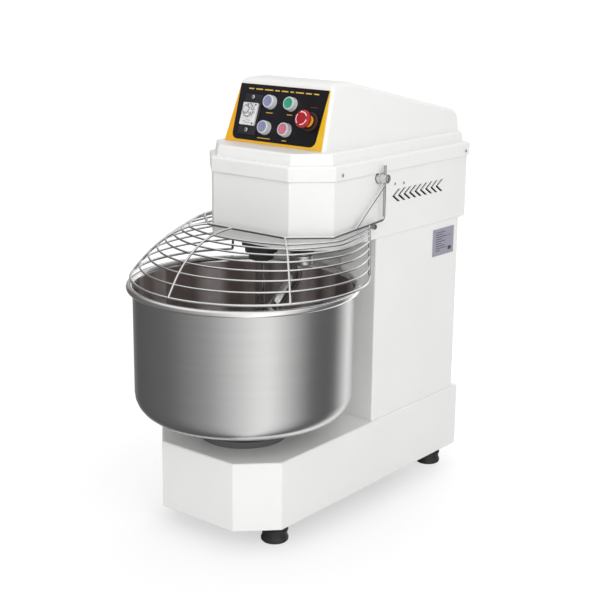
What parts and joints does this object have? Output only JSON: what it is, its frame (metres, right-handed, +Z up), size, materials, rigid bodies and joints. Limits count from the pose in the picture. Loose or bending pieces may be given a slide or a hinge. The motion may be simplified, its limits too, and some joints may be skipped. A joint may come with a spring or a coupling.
{
  "type": "spiral dough mixer",
  "caption": "Floor-standing spiral dough mixer with a rotating steel bowl, spiral hook, breaker bar, hinged wire guard and a slanted control panel on a white column and head.",
  "frame": {"origin": "on the floor, at the middle of the footprint box", "axes": "+Z up, the operator stands at -Y and the column is at +Y, +X is to the operator's right"},
  "size_m": [0.516, 0.8548, 0.957],
  "materials": {
    "white_paint": "warm off-white textured powder coat",
    "white_moulding": "glossy off-white moulded cover",
    "frame_paint": "dark grey primer on welded plate",
    "foot_rubber": "black rubber",
    "zinc_steel": "zinc plated steel",
    "stainless": "circumferentially brushed stainless steel",
    "guard_wire": "polished stainless wire",
    "tool_steel": "polished stainless bar",
    "dark_steel": "black oxide steel",
    "machined_steel": "turned steel",
    "castings": "painted cast iron",
    "pulley_metal": "machined aluminium",
    "belt_rubber": "ribbed black rubber belt",
    "panel_face": "black and amber printed panel",
    "bezel_grey": "pale grey bezels",
    "lens_violet": "violet blue lens",
    "lens_green": "green lens",
    "lens_red": "red lens",
    "stop_red": "red mushroom",
    "stop_yellow": "yellow collar",
    "black_plastic": "black moulded plastic",
    "timer_face": "white timer face",
    "knob_clear": "clear dial knob",
    "plate_metal": "anodised grey lilac plate"
  },
  "bodies": {
    "root": {"base_housing": "white_paint", "base_frame": "frame_paint", "levelling_feet": "foot_rubber", "foot_studs": "zinc_steel", "column_housing": "white_paint", "rear_cover": "white_paint", "head_housing": "white_paint", "head_plate": "frame_paint", "head_cover": "white_moulding", "control_panel": "panel_face", "button_bezels": "bezel_grey", "contact_blocks": "black_plastic", "stop_base": "black_plastic", "stop_collar": "stop_yellow", "timer_body": "timer_face", "timer_holder": "black_plastic", "rating_plate": "plate_metal", "screws": "zinc_steel", "hex_bolts": "zinc_steel", "bowl_bearing_housing": "castings", "ball_bearings": "machined_steel", "flange_bearings": "castings", "shaft_seals": "foot_rubber", "spiral_bearing_housing": "castings", "breaker_bar": "tool_steel", "breaker_bar_flange": "dark_steel", "drive_belts": "belt_rubber", "motor_housing": "frame_paint", "motor_fan_cowl": "frame_paint", "inverter": "black_plastic", "electrics_panel": "frame_paint", "contactors": "black_plastic", "cable_gland": "black_plastic", "power_cord": "foot_rubber", "guard_bushes": "zinc_steel", "guard_stop_pins": "zinc_steel", "guard_switch": "black_plastic"},
    "bowl": {"bowl": "stainless", "bowl_bolts": "zinc_steel", "bowl_spindle": "machined_steel", "bowl_pulley": "pulley_metal"},
    "spiral": {"spiral_hook": "tool_steel", "spiral_spindle": "machined_steel", "spiral_pulley": "pulley_metal"},
    "layshaft": {"layshaft": "machined_steel", "layshaft_pulleys": "pulley_metal"},
    "idler": {"idler_shaft": "machined_steel", "idler_pulleys": "pulley_metal"},
    "motor_rotor": {"motor_rotor": "machined_steel", "motor_pulley": "pulley_metal"},
    "guard": {"safety_guard": "guard_wire", "guard_pivot_pins": "zinc_steel", "guard_cam": "dark_steel"},
    "light_button": {"light_button": "lens_violet"},
    "green_start_button": {"green_start_button": "lens_green"},
    "jog_button": {"jog_button": "lens_violet"},
    "red_stop_button": {"red_stop_button": "lens_red"},
    "stop_plunger": {"stop_stem": "zinc_steel"},
    "stop_head": {"stop_mushroom": "stop_red"},
    "timer_knob": {"timer_knob": "knob_clear"}
  },
  "joints": [
    {"name": "bowl_spin", "type": "hinge", "parent": "root", "child": "bowl", "pos_m": [0, -0.1775, 0], "axis": [0, 0, 1], "continuous": true},
    {"name": "spiral_spin", "type": "hinge", "parent": "root", "child": "spiral", "pos_m": [0.078, -0.0795, 0], "axis": [0, 0, 1], "continuous": true},
    {"name": "layshaft_spin", "type": "hinge", "parent": "root", "child": "layshaft", "pos_m": [-0.055, 0.115, 0], "axis": [0, 0, 1], "continuous": true},
    {"name": "idler_spin", "type": "hinge", "parent": "root", "child": "idler", "pos_m": [0.03, -0.008, 0], "axis": [0, 0, 1], "continuous": true},
    {"name": "motor_spin", "type": "hinge", "parent": "root", "child": "motor_rotor", "pos_m": [0, 0.265, 0], "axis": [0, 0, 1], "continuous": true},
    {"name": "guard_lift", "type": "hinge", "parent": "root", "child": "guard", "pos_m": [0, 0.0655, 0.754], "axis": [-1, 0, 0], "range_deg": [0, 75]},
    {"name": "light_button_press", "type": "slide", "parent": "root", "child": "light_button", "axis": [0, 0.9421, -0.3355], "range_m": [0, 0.004]},
    {"name": "green_start_press", "type": "slide", "parent": "root", "child": "green_start_button", "axis": [0, 0.9421, -0.3355], "range_m": [0, 0.004]},
    {"name": "jog_button_press", "type": "slide", "parent": "root", "child": "jog_button", "axis": [0, 0.9421, -0.3355], "range_m": [0, 0.004]},
    {"name": "red_stop_press", "type": "slide", "parent": "root", "child": "red_stop_button", "axis": [0, 0.9421, -0.3355], "range_m": [0, 0.004]},
    {"name": "emergency_stop_push", "type": "slide", "parent": "root", "child": "stop_plunger", "axis": [0, 0.9421, -0.3355], "range_m": [0, 0.004]},
    {"name": "emergency_stop_twist", "type": "hinge", "parent": "stop_plunger", "child": "stop_head", "pos_m": [0.0915, -0.06801, 0.87678], "axis": [0, 0.9421, -0.3355], "range_deg": [0, 40]},
    {"name": "timer_turn", "type": "hinge", "parent": "root", "child": "timer_knob", "pos_m": [-0.0755, -0.06465, 0.8862], "axis": [0, 0.9421, -0.3355], "range_deg": [0, 270]}
  ],
  "couplings": [
    {"joint": "idler_spin", "follows": "bowl_spin", "ratio": 5.4167},
    {"joint": "layshaft_spin", "follows": "bowl_spin", "ratio": 21.667},
    {"joint": "motor_spin", "follows": "bowl_spin", "ratio": 66.912},
    {"joint": "spiral_spin", "follows": "bowl_spin", "ratio": 9.7849}
  ]
}
